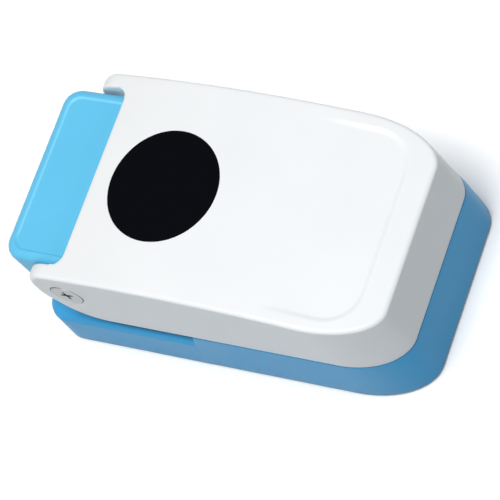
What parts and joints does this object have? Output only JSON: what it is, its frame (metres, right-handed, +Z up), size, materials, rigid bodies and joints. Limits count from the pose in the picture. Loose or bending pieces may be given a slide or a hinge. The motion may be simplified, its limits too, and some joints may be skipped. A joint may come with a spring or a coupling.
{
  "type": "circle punch",
  "caption": "Lever craft punch for round discs: a blue plastic base and head with a paper slot between them, and a hinged white lever over them that drives a round steel cutter into a die.",
  "frame": {"origin": "centre of the footprint on the plane that the rubber feet stand on", "axes": "+X from the head and pivot end to the pressed end of the lever, +Y to the far side, +Z up"},
  "size_m": [0.1349, 0.074, 0.0512],
  "materials": {
    "blue_plastic": "satin moulded ABS, sky blue",
    "white_plastic": "satin moulded ABS, white",
    "black_film": "satin black film",
    "bright_steel": "bright zinc plated",
    "tool_steel": "ground",
    "grey_acetal": "moulded",
    "white_nylon": "moulded",
    "black_rubber": "matte"
  },
  "bodies": {
    "body": {"base_shell": "blue_plastic", "bottom_cover": "blue_plastic", "cover_screw_1": "bright_steel", "cover_screw_2": "bright_steel", "cover_screw_3": "bright_steel", "cover_screw_4": "bright_steel", "die_plate": "tool_steel", "die_set_screw_1": "bright_steel", "die_set_screw_2": "bright_steel", "die_set_screw_3": "bright_steel", "die_set_screw_4": "bright_steel", "foot_1": "black_rubber", "foot_2": "black_rubber", "foot_3": "black_rubber", "foot_4": "black_rubber", "guide_plate": "tool_steel", "guide_plate_screw_1": "bright_steel", "guide_plate_screw_2": "bright_steel", "guide_post_1": "bright_steel", "guide_post_2": "bright_steel", "guide_post_3": "bright_steel", "guide_post_4": "bright_steel", "head_housing": "blue_plastic", "pivot_axle": "bright_steel", "pivot_screw_far": "bright_steel", "pivot_screw_near": "bright_steel", "pivot_washer_far": "white_nylon", "pivot_washer_near": "white_nylon", "return_spring_1": "bright_steel", "return_spring_2": "bright_steel", "return_spring_3": "bright_steel", "return_spring_4": "bright_steel", "throat_spacer": "grey_acetal"},
    "lever": {"lever": "white_plastic", "label_disc": "black_film", "drive_pin": "bright_steel"},
    "cutter": {"circle_cutter": "tool_steel", "cutter_carrier": "grey_acetal", "cutter_screw_1": "bright_steel", "cutter_screw_2": "bright_steel"},
    "lock": {"lock_slider": "white_plastic"}
  },
  "joints": [
    {"name": "lever_hinge", "type": "hinge", "parent": "body", "child": "lever", "pos_m": [-0.04495, 0, 0.038], "axis": [0, -1, 0], "range_deg": [0, 22]},
    {"name": "cutter_slide", "type": "slide", "parent": "body", "child": "cutter", "axis": [0, 0, 1], "range_m": [0, 0.0061], "deforming": ["return_spring_1", "return_spring_2", "return_spring_3", "return_spring_4"]},
    {"name": "lock_slide", "type": "slide", "parent": "body", "child": "lock", "axis": [1, 0, 0], "range_m": [0, 0.003]}
  ],
  "couplings": [
    {"joint": "cutter_slide", "follows": "lever_hinge", "m_per_rad": 0.015805}
  ]
}
